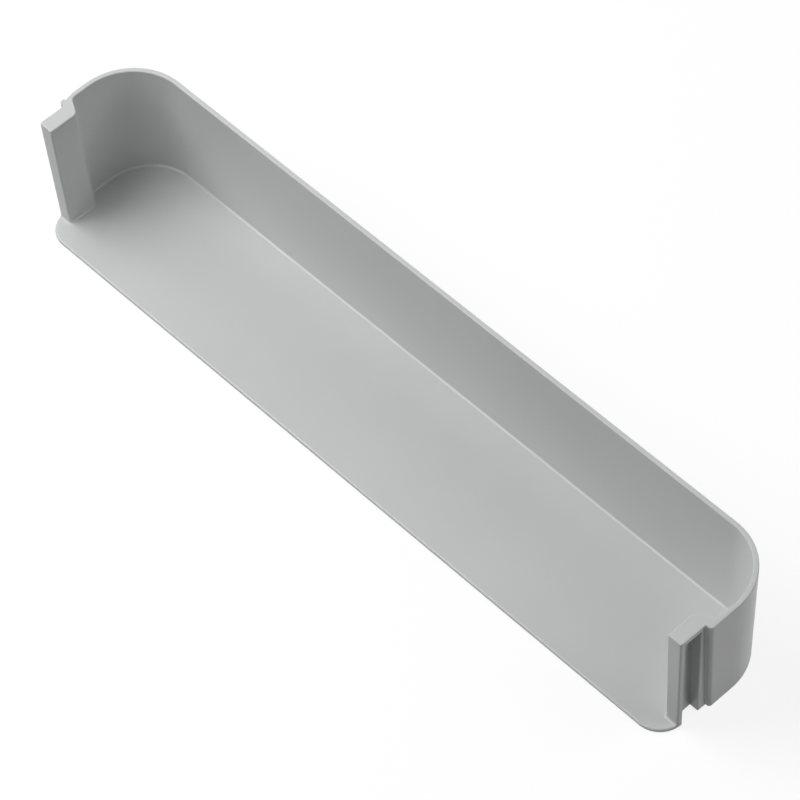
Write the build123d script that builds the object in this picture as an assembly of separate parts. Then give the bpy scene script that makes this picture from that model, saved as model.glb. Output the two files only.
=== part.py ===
from build123d import *
import math
import os

# Overall size, in millimetres
length = 470.0                   # over the end walls, at the rim
depth = 80.9                     # open edge of the floor to the outside of the front wall
height = 74.8                    # underside of the floor to the rim

# Moulded thicknesses
wall = 2.8                       # front wall, end walls and inner walls of the posts
floor_thickness = 2.3
post_top_thickness = 2.6         # roof over each lug pocket
post_face_thickness = 2.7        # strip of each post that faces the open edge

# Draft over the full height
end_draft = 4.1                  # each end wall leans outwards this much towards the rim
front_draft = 0.8
post_side_draft = 3.0            # outer side of each post and of the floor below it
post_inner_draft = 2.0           # side of each post that faces the tray
rib_draft = 2.6                  # the back of each guide rib moves this much towards the open edge

# Corners seen from above
front_corner_radius = 34.4       # outside, between the front wall and an end wall, at the rim
corner_taper = 1.1               # the front corners are this much tighter at the underside
floor_corner_radius = 14.7       # free corners of the floor at the open edge
joggle_radius = 4.0              # both bends where the end wall steps inwards
post_corner_radius = 0.8         # inner front corner of each post
shoulder_radius = 1.8            # outer edge where the end wall stands proud of the post
nook_radius = 0.5                # inner corner between the shoulder and the guide rib

# Hanging posts, one at each end
post_setback = 11.8              # open edge to the face of the post
post_width = 9.0                 # inner face to outer edge, at the rim
shoulder_step = 3.7              # the end wall stands out beyond the post by this
pocket_width = 11.0              # slot for the lug of the door liner
rib_width = 5.3                  # guide rib behind the slot, at the underside
joggle_web = 4.0                 # slot to the start of the inward joggle
joggle_angle = 28.0              # slope of the joggle, from the long direction

# Lip at the top of the left shoulder
lip_width = 3.2
relief_depth = 1.7
relief_length = 7.5
relief_height = 9.0

# Rounded edges
crease_radius = 1.2              # floor to the standing walls, inside
floor_edge_radius = 1.0          # upper edge of the floor along the open side
rim_radius = 0.6
rib_edge_radius = 0.7            # standing outer edge of each guide rib
underside_radius = 0.8

# Places worked out from the sizes above, with the origin under the middle of the shelf
y_open = -depth / 2
y_front = depth / 2
y_post = y_open + post_setback
y_pocket = y_post + post_face_thickness
y_rib = y_pocket + pocket_width
y_shoulder = y_rib + rib_width
y_joggle = y_rib + joggle_web
x_end = length / 2
x_post = x_end - shoulder_step
x_inner = x_post - post_width
joggle_slope = math.tan(math.radians(joggle_angle))
clear = depth                    # how far the cutting shapes reach past the moulding sideways
over = 1.0                       # how far they stand out over the rim
touch = 0.01                     # edges this close to a place belong to it


def lean(z, draft):
    """How far a drafted face stands back at height z, measured from its place at the rim."""
    return draft * (1 - z / height)


def mirrored_face(corners, z):
    """Closed outline at height z, from the corners and radii of its right half."""
    left = [(-x, y, radius) for x, y, radius in reversed(corners)]
    points = [(x, y) for x, y, radius in corners + left]
    radii = [radius for x, y, radius in corners + left]
    outline = FilletPolyline(*points, radius=radii, close=True)
    return Pos(0, 0, z) * make_face(outline.edges())


def outer_face(z):
    """Outside of the whole moulding at height z, with the stepped shoulder at each end."""
    x_side = x_post - lean(z, post_side_draft)
    x_outside = x_end - lean(z, end_draft)
    y_step = y_shoulder - rib_draft + lean(z, rib_draft)
    y_outside = y_front - lean(z, front_draft)
    corners = [
        (x_side, y_open, floor_corner_radius),
        (x_side, y_step, nook_radius),
        (x_outside, y_step, shoulder_radius),
        (x_outside, y_outside, front_corner_radius - lean(z, corner_taper)),
    ]
    return mirrored_face(corners, z)


def open_face(z):
    """Space inside the tray and over the open edge at height z."""
    x_tray = x_inner - lean(z, post_inner_draft)
    x_inside = x_end - wall - lean(z, end_draft)
    y_inside = y_front - wall - lean(z, front_draft)
    y_bend = y_joggle + (x_inside - x_tray) * joggle_slope
    corners = [
        (x_end + clear, y_open - clear, 0),
        (x_end + clear, y_post, 0),
        (x_tray, y_post, post_corner_radius),
        (x_tray, y_joggle, joggle_radius),
        (x_inside, y_bend, joggle_radius),
        (x_inside, y_inside, front_corner_radius - wall - lean(z, corner_taper)),
    ]
    return mirrored_face(corners, z)


def tray_space():
    """Everything above the floor and between the walls, rounded where it meets the floor."""
    space = loft([open_face(floor_thickness), open_face(height + over)], ruled=True)
    foot = space.faces().sort_by(Axis.Z)[0]
    crease = foot.edges().filter_by(lambda edge: edge.center().Y > y_post - crease_radius)
    return fillet(crease, crease_radius)


def lug_pocket():
    """Slot in the right post, open outwards and downwards, with a drafted inner wall."""
    sections = []
    for z in (-height, height - post_top_thickness):
        x_wall = x_inner + wall - lean(z, post_inner_draft)
        slot = Rectangle(clear, pocket_width, align=(Align.MIN, Align.MIN))
        sections.append(Pos(x_wall, y_pocket, z) * slot)
    return loft(sections, ruled=True)


def lip_relief():
    """Shallow hollow behind the narrow lip at the top of the left shoulder."""
    y_lip = y_shoulder - rib_draft + lip_width
    outline = Polyline(
        (-x_end - clear, y_lip),
        (-x_end + relief_depth, y_lip),
        (-x_end, y_lip + relief_length),
        (-x_end - clear, y_lip + relief_length),
        close=True,
    )
    return Pos(0, 0, height - relief_height) * extrude(make_face(outline), relief_height + over)


def edges_at(body, axis, place):
    """Edges whose middle lies at one place along an axis."""
    return body.edges().filter_by_position(axis, place - touch, place + touch)


def round_floor_edge(body):
    """Soften the upper edge of the floor along the open side."""
    floor_level = edges_at(body, Axis.Z, floor_thickness)
    free = floor_level.filter_by(lambda edge: edge.center().Y < y_post - crease_radius)
    return fillet(free, floor_edge_radius)


def round_rib_edges(body):
    """Soften the standing outer edge of each guide rib, beside its pocket."""
    standing = edges_at(body, Axis.Y, y_rib).filter_by(lambda edge: edge.length > height / 2)
    outer = standing.filter_by(lambda edge: abs(edge.center().X) > x_inner + wall)
    return fillet(outer, rib_edge_radius)


def shelf():
    pocket = lug_pocket()
    body = loft([outer_face(0), outer_face(height)], ruled=True)
    body = body - tray_space() - pocket - mirror(pocket, about=Plane.YZ)
    body = round_floor_edge(body)
    rim = body.faces().sort_by(Axis.Z)[-1]
    body = fillet(rim.edges(), rim_radius)
    body = round_rib_edges(body)
    underside = body.faces().sort_by(Axis.Z)[0]
    body = fillet(underside.edges(), underside_radius)
    return body - lip_relief()


os.makedirs("parts", exist_ok=True)
export_step(shelf(), "parts/door_shelf.step")
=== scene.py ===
import bpy
import math
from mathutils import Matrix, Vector

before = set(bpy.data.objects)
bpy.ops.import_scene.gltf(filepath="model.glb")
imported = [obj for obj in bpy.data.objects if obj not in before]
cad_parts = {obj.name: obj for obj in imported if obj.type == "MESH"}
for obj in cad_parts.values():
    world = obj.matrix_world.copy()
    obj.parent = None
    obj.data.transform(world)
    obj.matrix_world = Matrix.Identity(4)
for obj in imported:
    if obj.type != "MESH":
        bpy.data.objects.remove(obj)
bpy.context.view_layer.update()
bpy.ops.object.select_all(action="DESELECT")

# The fridge door shelf
# The real shelf is one shot of light grey high-impact polystyrene: the floor, the front wall, both
# ends and the hanging posts leave the mould together. Nothing is fitted to it, so the whole look is
# in the skin that the mould leaves on it.

MM = 0.001
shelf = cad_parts["door_shelf"]

def linear_colour(hex_digits):
    """An sRGB colour, written as six hex digits, as the linear colour that a shader takes."""
    channels = [int(hex_digits[start:start + 2], 16) / 255 for start in (0, 2, 4)]
    linear = [c / 12.92 if c <= 0.04045 else ((c + 0.055) / 1.055) ** 2.4 for c in channels]
    return (*linear, 1.0)

def add_node(tree, kind, links=None, values=None, **settings):
    """Adds one node with its settings, the values on its own sockets and the links that feed it."""
    node = tree.nodes.new(kind)
    for name, setting in settings.items():
        setattr(node, name, setting)
    for socket, value in (values or {}).items():
        node.inputs[socket].default_value = value
    for socket, output in (links or {}).items():
        tree.links.new(output, node.inputs[socket])
    return node

def moulded_polystyrene():
    """High-impact polystyrene, injection moulded against a finely blasted steel mould.

    The pigment hides all light from below, so the colour is flat and cool. The blasted mould gives
    a satin skin: soft, wide highlights, a little cloudy where the melt cooled at other speeds.
    """
    material = bpy.data.materials.new("moulded_polystyrene")
    material.use_nodes = True
    tree = material.node_tree
    tree.nodes.clear()
    place = add_node(tree, "ShaderNodeTexCoord").outputs["Object"]

    # Nearly all of a noise pattern lies between these two values
    noise_low, noise_high = 0.3, 0.7

    # Clouds in the pigment, about as wide as a hand, a shade apart
    cloud_width = 70 * MM
    clouds = add_node(tree, "ShaderNodeTexNoise", {"Vector": place},
                      {"Scale": 1 / cloud_width, "Detail": 3.0, "Roughness": 0.45})
    shade = add_node(tree, "ShaderNodeValToRGB", {"Fac": clouds.outputs["Fac"]})
    shade.color_ramp.elements[0].position = noise_low
    shade.color_ramp.elements[0].color = linear_colour("D0D3D2")
    shade.color_ramp.elements[1].position = noise_high
    shade.color_ramp.elements[1].color = linear_colour("D4D6D5")

    # The satin skin is a touch glossier in patches, where the melt met the mould first
    patch_width = 18 * MM
    patches = add_node(tree, "ShaderNodeTexNoise", {"Vector": place},
                       {"Scale": 1 / patch_width, "Detail": 4.0, "Roughness": 0.6})
    glossiest, dullest = 0.33, 0.40
    roughness = add_node(tree, "ShaderNodeMapRange", {"Value": patches.outputs["Fac"]},
                         {"From Min": noise_low, "From Max": noise_high,
                          "To Min": glossiest, "To Max": dullest})

    # Large walls shrink unevenly as they cool, and stay very slightly wavy
    wave_length, wave_depth = 90 * MM, 0.25 * MM
    waves = add_node(tree, "ShaderNodeTexNoise", {"Vector": place},
                     {"Scale": 1 / wave_length, "Detail": 1.0, "Roughness": 0.4})
    wavy = add_node(tree, "ShaderNodeBump", {"Height": waves.outputs["Fac"]},
                    {"Strength": 1.0, "Distance": wave_depth})

    # The blasted grain is about 0.1 mm, too fine to show, so it is drawn at 0.7 mm
    grain_width, grain_depth = 0.7 * MM, 0.02 * MM
    grain = add_node(tree, "ShaderNodeTexNoise", {"Vector": place},
                     {"Scale": 1 / grain_width, "Detail": 2.0, "Roughness": 0.5})
    grainy = add_node(tree, "ShaderNodeBump",
                      {"Height": grain.outputs["Fac"], "Normal": wavy.outputs["Normal"]},
                      {"Strength": 0.35, "Distance": grain_depth})

    skin = add_node(
        tree, "ShaderNodeBsdfPrincipled",
        {
            "Base Color": shade.outputs["Color"],
            "Roughness": roughness.outputs["Result"],
            "Normal": grainy.outputs["Normal"],
        },
        {"IOR": 1.59, "Metallic": 0.0},
    )
    add_node(tree, "ShaderNodeOutputMaterial", {"Surface": skin.outputs["BSDF"]})
    return material

shelf.material_slots[0].material = moulded_polystyrene()

# Normals weighted by area keep the flat walls flat and the small roundings between them even
even_normals = shelf.modifiers.new("even_normals", "WEIGHTED_NORMAL")
even_normals.mode = "FACE_AREA"
even_normals.keep_sharp = True

# The studio floor and backdrop
# The shelf lies on a wide sheet of matt grey board in an empty white room. To the camera the
# board glows up to white, and it still takes the shelf's soft shadow.

board_size = 8.0
board_glow = 0.84

def seen_directly(tree):
    """One where the camera, a reflection or a see-through surface looks, and zero for other light."""
    ray = add_node(tree, "ShaderNodeLightPath").outputs
    seen = add_node(tree, "ShaderNodeMath", {0: ray["Is Camera Ray"], 1: ray["Is Glossy Ray"]},
                    operation="MAXIMUM")
    seen = add_node(tree, "ShaderNodeMath", {0: seen.outputs["Value"], 1: ray["Is Transmission Ray"]},
                    operation="MAXIMUM")
    return seen.outputs["Value"]

def matt_board():
    """Matt painted board: plain mid grey in the light, with a glow up to white where it is seen."""
    material = bpy.data.materials.new("matt_board")
    material.use_nodes = True
    tree = material.node_tree
    tree.nodes.clear()
    paint = add_node(tree, "ShaderNodeBsdfDiffuse", values={"Color": linear_colour("808080")})
    strength = add_node(tree, "ShaderNodeMath", {0: seen_directly(tree)}, {1: board_glow},
                        operation="MULTIPLY")
    glow = add_node(tree, "ShaderNodeEmission", {"Strength": strength.outputs["Value"]},
                    {"Color": linear_colour("FFFFFF")})
    board = add_node(tree, "ShaderNodeAddShader",
                     {0: paint.outputs["BSDF"], 1: glow.outputs["Emission"]})
    add_node(tree, "ShaderNodeOutputMaterial", {"Surface": board.outputs["Shader"]})
    return material

bpy.ops.mesh.primitive_plane_add(size=board_size)
floor = bpy.context.object
floor.name = "studio_floor"
floor.data.materials.append(matt_board())
bpy.ops.object.select_all(action="DESELECT")

room = bpy.data.worlds.new("white_room")
bpy.context.scene.world = room
room.use_nodes = True
room.node_tree.nodes.clear()
room_white = add_node(room.node_tree, "ShaderNodeBackground",
                      {"Strength": seen_directly(room.node_tree)}, {"Color": linear_colour("FFFFFF")})
add_node(room.node_tree, "ShaderNodeOutputWorld", {"Surface": room_white.outputs["Background"]})

# The studio light
# Four square softboxes. The key hangs high over the left end, a little to the open side, so the
# left end wall shades the floor beside it. The other three fill the dark sides.

def add_softbox(name, direction, distance, width, power):
    """A square softbox that faces the shelf from one direction and is hidden from the camera."""
    towards_lamp = Vector(direction).normalized()
    bpy.ops.object.light_add(type="AREA", location=towards_lamp * distance)
    softbox = bpy.context.object
    softbox.name = name
    softbox.data.shape = "SQUARE"
    softbox.data.size = width
    softbox.data.energy = power
    softbox.rotation_euler = towards_lamp.to_track_quat("Z", "Y").to_euler()
    softbox.visible_camera = False

add_softbox("key_softbox", (-0.55, -0.28, 0.79), distance=1.6, width=1.25, power=19.5)

# Far behind the right end, it shines over the front wall into the left end of the tray
add_softbox("back_softbox", (0.60, 0.50, 0.60), distance=4.0, width=2.5, power=44.5)

# A weak one on the open side lifts the front wall and the faces of the posts
add_softbox("front_softbox", (0.0, -0.87, 0.50), distance=1.6, width=1.6, power=4.0)

# A low one lifts the outside of the front wall, which hides the tray from it
add_softbox("rear_softbox", (-0.50, 0.82, 0.28), distance=3.0, width=2.0, power=18.0)
bpy.ops.object.select_all(action="DESELECT")

# The camera
# It looks down over the right end from the open side, from far off with a long lens, as in the
# photograph.

photo_azimuth = 51.15
photo_elevation = 52.97
camera_roll = -5.67
camera_distance = 2103.4 * MM
aim = Vector((-10.73, 13.81, 0.0)) * MM
sensor_width = 36.0
focal_length = 185.46

azimuth = math.radians(photo_azimuth)
elevation = math.radians(photo_elevation)
backwards = Vector((
    math.sin(azimuth) * math.cos(elevation),
    -math.cos(azimuth) * math.cos(elevation),
    math.sin(elevation),
))
bpy.ops.object.camera_add(location=aim + backwards * camera_distance)
camera = bpy.context.object
camera.name = "photo_camera"
camera.rotation_euler = (math.pi / 2 - elevation, 0, azimuth)
camera.rotation_euler.rotate_axis("Z", math.radians(camera_roll))
camera.data.sensor_width = sensor_width
camera.data.lens = focal_length
bpy.context.scene.camera = camera
bpy.context.scene.view_settings.view_transform = "Standard"
